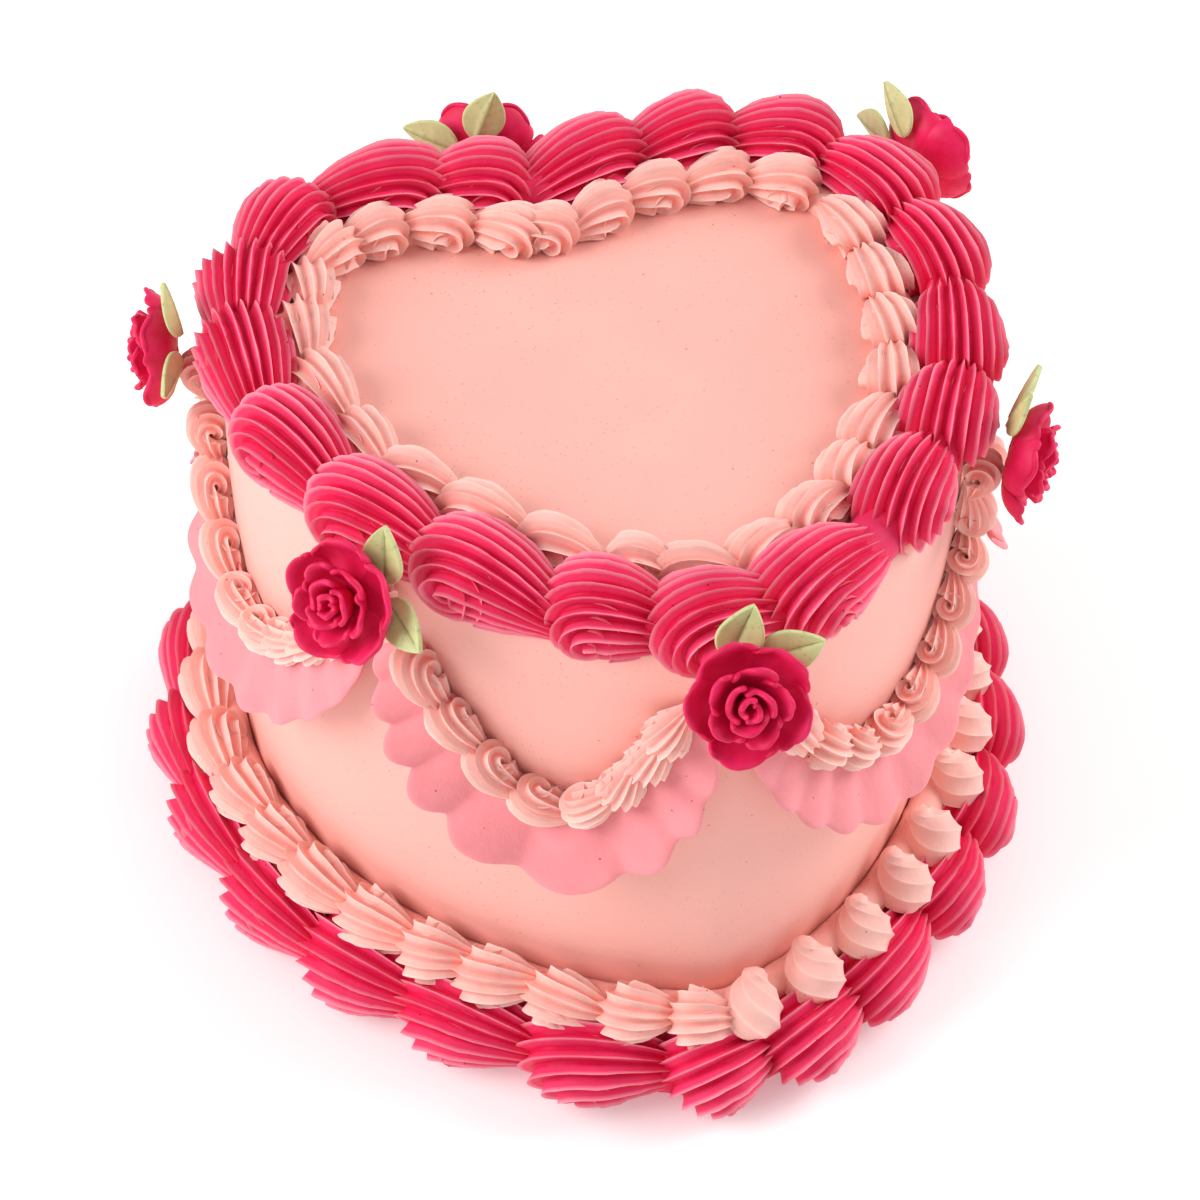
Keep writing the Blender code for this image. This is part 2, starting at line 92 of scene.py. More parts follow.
# The four rows of shells. guide is the distance of the row's guide from the wall, and radius that of a
# head. Round the back of the cake a row is filled evenly up to its count. ridges, flutes, steps, twists and
# thin shape the shells, and head_back, up, lean and swing place them. rope is the filling behind them: its
# distance out from the guide, its height and its radius. ripple is the size and the strength of the row's
# unevenness
ROWS = (
    {
        "name": "top_shells", "node": "top_border", "slot": "hot_pink_icing",
        "guide": -0.0045, "radius": 0.0110, "places": TOP_PLACES, "count": 19,
        "ridges": 22, "flutes": 0.25, "steps": 34, "twists": (0.0, 0.016, -0.012), "thin": 0.16,
        "head_back": 0.0015, "up": CAKE_HEIGHT + 0.00407, "lean": 0, "swing": 5,
        "rope": (0.0, CAKE_HEIGHT + 0.0022, 0.0052), "ripple": (0.006, 0.9 * MM),
    },
    {
        "name": "base_shells", "node": "base_border", "slot": "hot_pink_icing",
        "guide": 0.0107, "radius": 0.0125, "places": BASE_PLACES, "count": 22,
        "ridges": 20, "flutes": 0.23, "steps": 34, "twists": (0.0, 0.012, -0.010), "thin": 0.34,
        "head_back": 0.0015, "up": 0.011375, "lean": 26, "swing": 5,
        "rope": (-0.003, 0.0074, 0.0070), "ripple": (0.006, 0.9 * MM),
    },
    {
        "name": "inner_shells", "node": "top_inner_border", "slot": "peach_icing",
        "guide": -0.0168, "radius": 0.0066, "places": INNER_PLACES, "count": 26,
        "ridges": 12, "flutes": 0.28, "steps": 28, "twists": (0.0, 0.04, -0.04), "thin": 0.30,
        "head_back": 0.0008, "up": CAKE_HEIGHT + 0.00396, "lean": -10, "swing": 16,
        "rope": (0.0020, CAKE_HEIGHT + 0.0003, 0.0034), "ripple": (0.004, 0.8 * MM),
    },
    {
        "name": "collar_shells", "node": "base_collar", "slot": "peach_icing",
        "guide": 0.0080, "radius": 0.0071, "places": COLLAR_PLACES, "count": 35,
        "ridges": 13, "flutes": 0.26, "steps": 28, "twists": (0.0, 0.02, -0.02), "thin": 0.28,
        "head_back": 0.0008, "up": 0.0225, "lean": 45, "swing": 8,
        "rope": (-0.0044, 0.0195, 0.0036), "ripple": (0.004, 0.7 * MM),
    },
)
# Where the filling rope sits on the crest scale: a little into the painted flute shade, as painted shade in
# the hollow behind the shells
FILLING_PAINTED_SHADE = 0.2
TORN_SIZE, TORN_STRENGTH = 0.0015, 0.26 * MM
LONGEST, SHORTEST = 1.09, 0.85

# The part of the collar that is made of drops, and their shape
DROPS_FROM, DROPS_TO = 0.2550, 0.4000
DROP_RADIUS = 0.006248
DROP_RIDGES, DROP_FLUTES, DROP_STEPS = 6, 0.11, 26
DROP_TWISTS = (0.16, 0.20, 0.24)
# The drops' painted crest highlight and flute shade, narrowed to this part of the crest scale
DROP_PAINTED_LIGHT = (0.40, 0.85)
DROP_SINK = 0.5 * MM
DROP_SIZES = ((0.92, 1.04), (0.96, 1.05), (0.96, 1.05))

# A shell along its own length, in head radii: (forward, up, heading in degrees, radius). The icing comes
# out under the head, rolls round its back and over the top, and runs forward and down into the tail
SHELL_STAGES = (
    (0.36, -0.05, 262, 0.44),
    (0.26, -0.15, 240, 0.56),
    (0.15, -0.20, 218, 0.68),
    (0.06, -0.20, 196, 0.77),
    (-0.02, -0.17, 174, 0.83),
    (-0.06, -0.11, 152, 0.87),
    (-0.08, -0.06, 130, 0.90),
    (-0.07, -0.02, 108, 0.93),
    (-0.05, 0.00, 86, 0.95),
    (-0.01, 0.02, 64, 0.96),
    (0.07, 0.03, 44, 0.95),
    (0.19, 0.02, 26, 0.92),
    (0.35, -0.01, 12, 0.91),
    (0.55, -0.04, 4, 0.90),
    (0.78, -0.09, -3, 0.86),
    (1.04, -0.17, -10, 0.78),
    (1.32, -0.27, -15, 0.66),
    (1.60, -0.37, -17, 0.51),
    (1.88, -0.46, -15, 0.36),
    (2.10, -0.52, -10, 0.22),
)

# A drop of icing that ends in a small knob, in the same way
DROP_STAGES = (
    (-0.96, 0.0, 0, 0.50),
    (-0.82, 0.0, 0, 0.82),
    (-0.52, 0.0, 0, 1.02),
    (-0.18, 0.0, 0, 1.08),
    (0.15, 0.0, 0, 1.03),
    (0.45, 0.0, 0, 0.88),
    (0.70, 0.0, 0, 0.68),
    (0.90, 0.0, 0, 0.50),
    (1.04, 0.0, 0, 0.42),
    (1.18, 0.0, 0, 0.37),
    (1.28, 0.0, 0, 0.22),
    (1.32, 0.0, 0, 0.06),
)

# Six roses: place along the wall, height, distance of the back from the wall, tilt of the face, and for
# each leaf its start and direction
ROSES = (
    (0.0090, 0.1220, 0.0088, 6, ((18, -18), (58, 80))),
    (0.0870, 0.1180, 0.0085, 0, ((22, -10), (62, 84))),
    (0.1610, 0.1240, 0.0110, 26, ((45, -8), (72, 112))),
    (0.2290, 0.1245, 0.0105, 28, ((-24, 20), (25, 70))),
    (0.3055, 0.1190, 0.0082, -3, ((5, -10), (48, 60))),
    (0.3825, 0.1225, 0.0098, 4, ((15, 50), (70, 100))),
)
LEAF_START = 0.0068
LEAF_BEHIND = 0.0010
LEAF_LIFT = math.radians(8)
LEAF_LENGTH, LEAF_WIDTH = 0.0122, 0.0084
LEAF_ROWS, LEAF_COLUMNS = 20, 14
LEAF_ANGLE = 50

# The dabs behind the roses: how far below the middle of its rose a dab meets it, what it reaches beyond the
# rose's back, and how deep a shell is in head radii
DAB_BELOW = 0.008
DAB_OVERLAP = 0.8 * MM
DAB_RISE = 3.0 * MM
DAB_LENGTH, DAB_WIDTH = 0.85, 0.95
SHELL_DEPTH = 1.95

# Swags and the frills under them. For each swag: its two ends as place along the wall and height, how far
# it sags, and how much of the sag is moved towards its second end
SWAGS = (
    ((0.0160, 0.1050), (0.0800, 0.1010), 0.0280, 0.0),
    ((0.0915, 0.0930), (0.1500, 0.0995), 0.0200, -0.0020),
    ((0.1660, 0.1060), (0.2185, 0.1080), 0.0290, 0.0100),
    ((0.2380, 0.1040), (0.3085, 0.0915), 0.0230, -0.0040),
    ((0.3190, 0.1050), (0.3755, 0.1030), 0.0270, 0.0),
    ((0.3895, 0.1030), (0.4660, 0.1050), 0.0280, 0.0),
)
# One more shell that leads a swag up to its rose: place along the wall, height and heading in degrees
LEADING_SHELLS = {2: (0.0893, 0.0995, -82), 4: (0.3082, 0.0990, 96)}
SWAG_PITCH = 0.0104
SWAG_EASE = 0.22
SLOPE_STEP = 0.005
SWAG_RADIUS = 0.0051
SWAG_STEP = 0.0005
SWAG_RIDGES, SWAG_FLUTES, SWAG_STAGES = 13, 0.26, 28
SWAG_TWISTS = (0.0, 0.025, -0.025)
SWAG_THIN = 0.25
FRILL_WIDTH, FRILL_END_WIDTH = 0.0150, 0.0070
FRILL_FLARE = 0.0095
FRILL_WAVE = 0.0023
FRILL_PERIOD = 0.0088
RUFFLES = (1.0, 0.6, 1.0, 0.5, 1.0, 1.0)
FRILL_TUCK, FRILL_GAP = 0.002, 0.0012
FRILL_ALONG, FRILL_ACROSS = 110, 10

FLUTE_ROUNDING = 0.62
RIDGE_STEPS = 5
RIDGE_ANGLE, SOFT_ANGLE = 40, 60
UNDERSIDE = 0.2 * MM
ROPE_AROUND, ROPE_ACROSS = 240, 14

draw = random.Random(11)


# Guide lines round the heart


def half_outline(side):
    """Points of one half of the heart, from the cleft to just before the tip. side is -1 or 1."""
    mirror = Vector((side, 1.0))
    lobe = LOBE_TOP * mirror
    widest = WIDEST[side]
    sections = (
        (CLEFT, CLEFT + CLEFT_HANDLE * mirror, lobe - Vector((side * LOBE_HANDLES[0], 0)), lobe),
        (lobe, lobe + Vector((side * LOBE_HANDLES[1], 0)), widest + Vector((0, WIDEST_HANDLES[0])), widest),
        (widest, widest - Vector((0, WIDEST_HANDLES[1])), TIP + TIP_HANDLE * mirror, TIP),
    )
    points = []
    for section in sections:
        points.extend(interpolate_bezier(*section, CURVE_STEPS)[:-1])
    return [tuple(p[:2]) for p in points]


def resampled(points, step):
    """A closed line's points, evenly spaced about step apart, and its length."""
    closed = np.vstack([points, points[:1]])
    lengths = np.concatenate([[0.0], np.cumsum(np.linalg.norm(np.diff(closed, axis=0), axis=1))])
    count = max(8, round(lengths[-1] / step))
    places = np.linspace(0.0, lengths[-1], count, endpoint=False)
    return np.column_stack([np.interp(places, lengths, closed[:, i]) for i in (0, 1)]), lengths[-1]


def outward_normals(points):
    """The outward direction at each point of a counter-clockwise closed line."""
    along = np.roll(points, -1, axis=0) - np.roll(points, 1, axis=0)
    along /= np.linalg.norm(along, axis=1, keepdims=True)
    return np.column_stack([along[:, 1], -along[:, 0]])


def moved_out(points, distance, rounding):
    """A closed line moved outward, with its one inside corner, at the cleft, rounded to a radius."""
    normals = outward_normals(points)
    reach = distance + rounding
    tips = points + normals * reach
    apart = np.linalg.norm(tips[:, None] - points[None], axis=2).min(axis=1)
    kept = np.flatnonzero(apart > reach - GUIDE_STEP / 10)
    moved = points + normals * distance
    first, last = kept[0], kept[-1]
    middle = (tips[first] + tips[last]) / 2
    start = math.atan2(*(moved[last] - middle)[::-1])
    turn = (math.atan2(*(moved[first] - middle)[::-1]) - start) % (2 * math.pi) - 2 * math.pi
    angles = start + turn * np.linspace(0.0, 1.0, ARC_STEPS)[1:-1]
    corner = middle + rounding * np.column_stack([np.cos(angles), np.sin(angles)])
    half = len(corner) // 2
    return np.vstack([corner[half:], moved[kept], corner[:half]])


def heart_outline(step):
    """The wall's outline, counter-clockwise from the cleft."""
    left = half_outline(-1)
    right = half_outline(1)
    whole = resampled(np.array(left + [tuple(TIP)] + right[:0:-1]), GUIDE_STEP)[0]
    return resampled(moved_out(whole, 0.0, WALL_ROUNDING), step)[0]


class Guide:
    """A closed line round the cake at one distance from its wall."""

    def __init__(self, distance):
        wall = heart_outline(GUIDE_STEP)
        self.points, self.length = resampled(moved_out(wall, distance, GUIDE_ROUNDING), GUIDE_STEP)
        self.normals = outward_normals(self.points)

    def place(self, along, out, up):
        """The point this far along the guide, out from it and up."""
        spot = (along % self.length) / self.length * len(self.points)
        first = int(spot) % len(self.points)
        second = (first + 1) % len(self.points)
        share = spot - int(spot)
        point = self.points[first] * (1 - share) + self.points[second] * share
        normal = self.normals[first] * (1 - share) + self.normals[second] * share
        normal /= np.linalg.norm(normal)
        return Vector((*(point + normal * out), up))

    def normal(self, along):
        return (self.place(along, 1.0, 0.0) - self.place(along, 0.0, 0.0)).normalized()

    def along(self, along):
        return Vector((0, 0, 1)).cross(self.normal(along))


# Small helpers for modelling


def only(piece):
    """Selects one object and nothing else."""
    bpy.ops.object.select_all(action="DESELECT")
    piece.select_set(True)
    bpy.context.view_layer.objects.active = piece


def finish_modifiers(piece):
    """Applies every modifier on a piece, in order."""
    only(piece)
    for modifier in list(piece.modifiers):
        bpy.ops.object.modifier_apply(modifier=modifier.name)


def settle(piece):
    """Moves a piece's place, turn and scale into its mesh."""
    only(piece)
    bpy.ops.object.transform_apply(location=True, rotation=True, scale=True)


def joined(name, pieces):
    """One object out of several."""
    bpy.ops.object.select_all(action="DESELECT")
    for piece in pieces:
        piece.select_set(True)
    bpy.context.view_layer.objects.active = pieces[0]
    bpy.ops.object.join()
    whole = bpy.context.object
    whole.name = name
    settle(whole)
    return whole


def copied(piece, placement):
    """A copy with its own mesh, put in its place."""
    twin = piece.copy()
    twin.data = piece.data.copy()
    bpy.context.scene.collection.objects.link(twin)
    twin.matrix_world = placement
    return twin


def axes_matrix(origin, right, forward, up):
    """A placement whose X, Y and Z axes are the three directions."""
    turned = Matrix((right, forward, up)).transposed()
    return Matrix.LocRotScale(origin, turned, None)


def smooth(piece, degrees):
    only(piece)
    bpy.ops.object.shade_smooth_by_angle(angle=math.radians(degrees))


def uneven(piece, name, size, strength):
    """Pushes the surface in and out a little, as icing under a spatula or out of a bag."""
    texture = bpy.data.textures.new(name, "CLOUDS")
    texture.noise_scale = size
    texture.noise_depth = 2
    push = piece.modifiers.new(name, "DISPLACE")
    push.texture = texture
    push.texture_coords = "LOCAL"
    push.mid_level = 0.5
    push.strength = strength
    finish_modifiers(piece)


def thickened(piece, thickness, levels):
    """Gives a sheet its thickness, half to each side, and rounds it."""
    thick = piece.modifiers.new("thick", "SOLIDIFY")
    thick.thickness = thickness
    thick.offset = 0
    rounder = piece.modifiers.new("rounder", "SUBSURF")
    rounder.levels = rounder.render_levels = levels
    finish_modifiers(piece)


def dress(piece, finish, node):
    """Gives a piece its finish, and lets it stand for its solid."""
    piece.data.materials.clear()
    piece.data.materials.append(finish)
    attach(piece, "root")
    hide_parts(node)


# Piped shells


def eased(stages, count):
    """count stages on a smooth line through the given ones."""
    table = np.array(stages, float)
    places = np.linspace(0, len(table) - 1, count)
    result = []
    for place in places:
        i = min(int(place), len(table) - 2)
        share = place - i
        before, a, b = table[max(i - 1, 0)], table[i], table[i + 1]
        after = table[min(i + 2, len(table) - 1)]
        bend = (b - before) / 2 * share * (1 - share) ** 2 - (after - a) / 2 * share**2 * (1 - share)
        ease = share * share * (3 - 2 * share)
        result.append(a + (b - a) * ease + bend)
    return result


def flute_dip(corner):
    """How far a corner of the star lies down in its flute: 0 on a crest and 1 at the bottom."""
    return abs(math.sin(math.pi * corner / RIDGE_STEPS)) ** FLUTE_ROUNDING


def star_nozzle(ridges, flutes, stage, radius):
    """A star shaped face with thin crests and rounded flutes, facing the way the first icing goes."""
    forward, up, heading, share = stage
    bpy.ops.object.select_all(action="DESELECT")
    corners = ridges * RIDGE_STEPS
    bpy.ops.mesh.primitive_circle_add(vertices=corners, radius=radius * share, fill_type="NGON")
    star = bpy.context.object
    # The crest attribute, 1 on a crest and 0 at the bottom of a flute, is what the icing paints its crest
    # highlight and flute shade from
    crest = star.data.attributes.new("crest", "FLOAT", "POINT")
    for i, vertex in enumerate(star.data.vertices):
        crest.data[i].value = 1.0 - flute_dip(i)
    bpy.ops.object.mode_set(mode="EDIT")
    bpy.ops.mesh.select_mode(type="VERT")
    for phase in range(1, RIDGE_STEPS):
        bpy.ops.mesh.select_all(action="DESELECT")
        shape = bmesh.from_edit_mesh(star.data)
        shape.verts.ensure_lookup_table()
        for i in range(phase, corners, RIDGE_STEPS):
            shape.verts[i].select_set(True)
        shape.select_flush_mode()
        bmesh.update_edit_mesh(star.data)
        scale = 1 - flutes * flute_dip(phase)
        bpy.ops.transform.resize(value=(scale, scale, 1), center_override=(0, 0, 0))
    bpy.ops.object.mode_set(mode="OBJECT")
    star.rotation_euler = (0, math.radians(90 - heading), 0)
    star.location = (forward * radius, 0, up * radius)
    settle(star)
    return star


def piped_shell(name, stages, radius, ridges, flutes, count, twist):
    """One shell, squeezed out of a star nozzle: the star is extruded stage by stage along its path."""
    path = eased(stages, count)
    shell = star_nozzle(ridges, flutes, path[0], radius)
    shell.name = name
    bpy.ops.object.mode_set(mode="EDIT")
    bpy.ops.mesh.select_mode(type="FACE")
    bpy.ops.mesh.select_all(action="SELECT")
    for before, after in zip(path, path[1:]):
        step = (after - before) * radius
        middle = (after[0] * radius, 0, after[1] * radius)
        bpy.ops.mesh.extrude_region_move(TRANSFORM_OT_translate={"value": (step[0], 0, step[1])})
        turn = math.radians(after[2] - before[2])
        bpy.ops.transform.rotate(value=turn, orient_axis="Y", center_override=middle)
        if twist:
            bpy.ops.transform.rotate(value=twist, orient_axis="X", center_override=middle)
        grown = after[3] / before[3]
        bpy.ops.transform.resize(value=(grown, grown, grown), center_override=middle)
    bpy.ops.mesh.select_all(action="SELECT")
    bpy.ops.mesh.normals_make_consistent(inside=False)
    bpy.ops.object.mode_set(mode="OBJECT")
    return shell


def flatten_under(piece, height):
    """Presses all that is lower than a height flat onto it."""
    for vertex in piece.data.vertices:
        vertex.co.z = max(vertex.co.z, height)


def filled(places, length, count):
    """The given places, and more of them evenly round the rest of a closed guide."""
    gap = length - places[-1] + places[0]
    more = count - len(places)
    return (*places, *(places[-1] + gap * (i + 1) / (more + 1) for i in range(more)))


def shell_row(row, shells, guide, places, drops):
    """Copies shells round the cake. The row's lean tilts their tops outward, in degrees."""
    placed = []
    pitch = guide.length / len(places)
    swing = row["swing"]
    for i, place in enumerate(places):
        following = places[(i + 1) % len(places)]
        stretch = min(max(((following - place) % guide.length) / pitch, SHORTEST), LONGEST)
        along = place - row["head_back"]
        if drops and DROPS_FROM < place < DROPS_TO:
            placed.append(copied(draw.choice(drops), drop_placement(guide, along, row["up"])))
            continue
        forward = guide.along(along + pitch * 0.35)
        normal = forward.cross(Vector((0, 0, 1)))
        tilt = math.radians(row["lean"] + draw.uniform(-7, 7))
        top = (Vector((0, 0, 1)) * math.cos(tilt) + normal * math.sin(tilt)).normalized()
        placement = axes_matrix(guide.place(along, 0.0, row["up"]), forward, top.cross(forward), top)
        turned = Matrix.Rotation(math.radians(draw.uniform(-swing, swing)), 4, "Z")
        size = Matrix.Diagonal((stretch, draw.uniform(0.97, 1.04), draw.uniform(0.97, 1.03), 1.0))
        placed.append(copied(shells[draw.randrange(len(shells))], placement @ turned @ size))
    return joined(row["name"], placed)


def drop_placement(guide, along, up):
    """A place for a drop whose knob points up and back to the wall."""
    out, forward = guide.normal(along), guide.along(along)
    knob = Vector((0, 0, 1)) * 0.80 - out * 0.42 + forward * draw.uniform(-0.05, 0.35)
    knob.normalize()
    top = (out - knob * out.dot(knob)).normalized()
    place = guide.place(along, -DROP_SINK, up - DROP_SINK)
    size = [draw.uniform(low, high) for low, high in DROP_SIZES]
    return axes_matrix(place, knob, top.cross(knob), top) @ Matrix.Diagonal((*size, 1.0))


def removed(pieces):
    for piece in pieces:
        bpy.data.objects.remove(piece)


# Finishes


def node_tree(name):
    made = bpy.data.materials.new(name)
    made.use_nodes = True
    return made, made.node_tree, made.node_tree.nodes["Principled BSDF"]


def add_node(tree, kind, **values):
    """A node, with its properties and then its inputs set by name."""
    node = tree.nodes.new(kind)
    for key, value in values.items():
        if hasattr(node, key):
            setattr(node, key, value)
        else:
            node.inputs[key.replace("_", " ")].default_value = value
    return node


def ramp(tree, source, stops):
    """A colour ramp on a value."""
    node = tree.nodes.new("ShaderNodeValToRGB")
    elements = node.color_ramp.elements
    while len(elements) < len(stops):
        elements.new(0.5)
    for element, (place, colour) in zip(elements, stops):
        element.position = place
        element.color = colour if len(colour) == 4 else (*colour, 1.0)
    tree.links.new(source, node.inputs["Fac"])
    return node.outputs["Color"]


def mixed(tree, blend, factor, first, second):
    """Two colours mixed. factor and the colours are sockets or plain values."""
    node = tree.nodes.new("ShaderNodeMix")
    node.data_type = "RGBA"
    node.blend_type = blend
    for value, socket in ((factor, node.inputs[0]), (first, node.inputs[6]), (second, node.inputs[7])):
        if isinstance(value, bpy.types.NodeSocket):
            tree.links.new(value, socket)
        else:
            socket.default_value = value if isinstance(value, float) else (*value, 1.0)
    return node.outputs[2]


def noise(tree, place, size, detail=3.0):
    """Cloudy noise with features about size across, in metres."""
    node = add_node(tree, "ShaderNodeTexNoise", Scale=1.0 / size, Detail=detail)
    tree.links.new(place, node.inputs["Vector"])
    return node.outputs["Fac"]


def pits(tree, place, spacing, radius):
    """1 inside scattered round pits and 0 between them."""
    node = add_node(tree, "ShaderNodeTexVoronoi", Scale=1.0 / spacing)
    tree.links.new(place, node.inputs["Vector"])
    edge = radius / spacing
    return ramp(tree, node.outputs["Distance"], ((edge * 0.55, (1, 1, 1)), (edge, (0, 0, 0))))


def bumped(tree, height, strength, distance, below=None, sunk=False):
    """A bump, laid over the one below it. sunk turns its heights into depths."""
    node = add_node(tree, "ShaderNodeBump", Strength=strength, Distance=distance, invert=sunk)
    tree.links.new(height, node.inputs["Height"])
    if below is not None:
        tree.links.new(below, node.inputs["Normal"])
    return node.outputs["Normal"]


def icing(name, crest, middle, flute, pit_shade, roughness, glow):
    """Buttercream out of a star nozzle: painted highlight on the crests, painted shade in the flutes and
    painted shade in a few air holes.
    """
    made, tree, shader = node_tree(name)
    place = tree.nodes.new("ShaderNodeTexCoord").outputs["Object"]
    height = add_node(tree, "ShaderNodeAttribute", attribute_name="crest").outputs["Fac"]
    # Painted highlight on the crests and painted shade in the flutes, from the crest attribute
    body = ramp(tree, height, ((0.0, flute), (0.28, middle), (0.62, middle), (1.0, crest)))
    cloud = ramp(tree, noise(tree, place, 9 * MM), ((0.35, (0.93, 0.92, 0.93)), (0.65, (1.0, 1.0, 1.0))))
    colour = mixed(tree, "MULTIPLY", 1.0, body, cloud)
    # Painted shade in the air holes, which the bump also presses in
    holes = pits(tree, place, 4.4 * MM, 0.24 * MM)
    colour = mixed(tree, "MIX", holes, colour, pit_shade)
    tree.links.new(colour, shader.inputs["Base Color"])
    fine = bumped(tree, noise(tree, place, 0.45 * MM, 4.0), 0.6, 0.12 * MM)
    torn = bumped(tree, noise(tree, place, 2.2 * MM, 3.0), 0.5, 0.35 * MM, fine)
    tree.links.new(bumped(tree, holes, 0.6, 0.25 * MM, torn, True), shader.inputs["Normal"])
    shader.inputs["Roughness"].default_value = roughness
    shader.inputs["Specular IOR Level"].default_value = 0.15
    if glow:
        shader.inputs["Subsurface Weight"].default_value = glow
        shader.inputs["Subsurface Radius"].default_value = (1.0, 0.45, 0.35)
        shader.inputs["Subsurface Scale"].default_value = 1.6 * MM
    return made


def smooth_icing(name, colour, deep, speck_and_pit_shade):
    """Icing smoothed with a scraper: nearly even, with faint drag lines, pink specks, and pits with painted
    shade in the speck colour.
    """
    made, tree, shader = node_tree(name)
    place = tree.nodes.new("ShaderNodeTexCoord").outputs["Object"]
    cloud = noise(tree, place, 38 * MM, 2.0)
    body = ramp(tree, cloud, ((0.35, deep), (0.62, colour)))
    specks = pits(tree, place, 5.0 * MM, 0.28 * MM)
    holes = pits(tree, place, 1.4 * MM, 0.19 * MM)
    body = mixed(tree, "MIX", specks, body, speck_and_pit_shade)
    # Painted shade in the pits, in patches, in the same colour as the specks
    soft = add_node(tree, "ShaderNodeMath", operation="MULTIPLY")
    tree.links.new(holes, soft.inputs[0])
    patches = ((0.42, (0.15, 0.15, 0.15)), (0.60, (0.7, 0.7, 0.7)))
    tree.links.new(ramp(tree, noise(tree, place, 30 * MM, 2.0), patches), soft.inputs[1])
    body = mixed(tree, "MIX", soft.outputs[0], body, speck_and_pit_shade)
    tree.links.new(body, shader.inputs["Base Color"])
    stretched = add_node(tree, "ShaderNodeMapping")
    stretched.inputs["Scale"].default_value = (1.0, 1.0, 7.0)
    tree.links.new(place, stretched.inputs["Vector"])
    drag = bumped(tree, noise(tree, stretched.outputs["Vector"], 14 * MM, 4.0), 0.35, 0.3 * MM)
    tree.links.new(bumped(tree, holes, 0.5, 0.15 * MM, drag, True), shader.inputs["Normal"])
    shader.inputs["Roughness"].default_value = 0.55
    shader.inputs["Specular IOR Level"].default_value = 0.3
    return made


def sugar_paste(name, colour, deep, roughness, grain):
    """Matt sugar paste with a faint powdery mottle."""
    made, tree, shader = node_tree(name)
    place = tree.nodes.new("ShaderNodeTexCoord").outputs["Object"]
    body = ramp(tree, noise(tree, place, 3.5 * MM, 4.0), ((0.3, deep), (0.7, colour)))
    tree.links.new(body, shader.inputs["Base Color"])
    tree.links.new(bumped(tree, noise(tree, place, 0.5 * MM, 3.0), 0.5, grain), shader.inputs["Normal"])
    shader.inputs["Roughness"].default_value = roughness
    shader.inputs["Specular IOR Level"].default_value = 0.3
    return made


# The cake


def cake_body(finish):
    """The iced heart: its outline drawn as a curve, raised in rings and closed over the top."""
    bpy.ops.object.select_all(action="DESELECT")
    outline = heart_outline(OUTLINE_STEP)
    bpy.ops.mesh.primitive_circle_add(vertices=len(outline), radius=0.07, fill_type="NGON")
    cake = bpy.context.object
    cake.name = "iced_heart"
    for vertex, point in zip(cake.data.vertices, outline):
        vertex.co = (*point, 0.0)
    bpy.ops.object.mode_set(mode="EDIT")
    bpy.ops.mesh.select_mode(type="FACE")
    bpy.ops.mesh.select_all(action="SELECT")
    for _ in range(WALL_RINGS):
        rise = (CAKE_HEIGHT - EDGE) / WALL_RINGS
        bpy.ops.mesh.extrude_region_move(TRANSFORM_OT_translate={"value": (0, 0, rise)})
    for share, scale in EDGE_RINGS:
        bpy.ops.mesh.extrude_region_move(TRANSFORM_OT_translate={"value": (0, 0, EDGE * share)})
        bpy.ops.transform.resize(value=(scale, scale, 1), center_override=(0, 0, CAKE_HEIGHT))
    for i in range(TOP_RINGS):
        scale = max((TOP_RINGS - i - 1) / (TOP_RINGS - i), LEAST_SHRINK)
        bpy.ops.mesh.extrude_region_move(TRANSFORM_OT_translate={"value": (0, 0, 0)})
        bpy.ops.transform.resize(value=(scale, scale, 1), center_override=TOP_MIDDLE)
    bpy.ops.mesh.select_all(action="SELECT")
    bpy.ops.mesh.normals_make_consistent(inside=False)
    bpy.ops.object.mode_set(mode="OBJECT")
    uneven(cake, "scraped", 0.030, 0.5 * MM)
    flatten_under(cake, 0.0)
    smooth(cake, RIDGE_ANGLE)
    dress(cake, finish, "cake_body")


def shell_models(name, stages, radius, ridges, flutes, count, twists, thin=0.0):
    """A few versions of a shell. thin narrows its tail."""
    thinned = [(*stage[:3], stage[3] * (1 - thin * max(0.0, stage[0] - 0.3))) for stage in stages]
    return [piped_shell(f"{name}_{k}", thinned, radius, ridges, flutes, count, twist)
            for k, twist in enumerate(twists)]


def soften_painted_light(pieces, low, high):
    """Evens out the painted crest highlight and flute shade of softly ridged pieces."""
    for piece in pieces:
        for value in piece.data.attributes["crest"].data:
            value.value = low + (high - low) * value.value


def rope(name, guide, out, up, radius):
    """A plain rope of icing that fills the hollow behind a row of shells, its colour set a little into the
    painted flute shade.
    """
    bpy.ops.object.select_all(action="DESELECT")
    bpy.ops.mesh.primitive_torus_add(
        major_segments=ROPE_AROUND, minor_segments=ROPE_ACROSS, major_radius=0.08, minor_radius=radius)
    piece = bpy.context.object
    piece.name = name
    crest = piece.data.attributes.new("crest", "FLOAT", "POINT")
    for i, vertex in enumerate(piece.data.vertices):
        turn = 2 * math.pi * (i % ROPE_ACROSS) / ROPE_ACROSS
        along = guide.length * (i // ROPE_ACROSS) / ROPE_AROUND
        vertex.co = guide.place(along, out + radius * math.cos(turn), up + radius * math.sin(turn))
        crest.data[i].value = FILLING_PAINTED_SHADE
    return piece


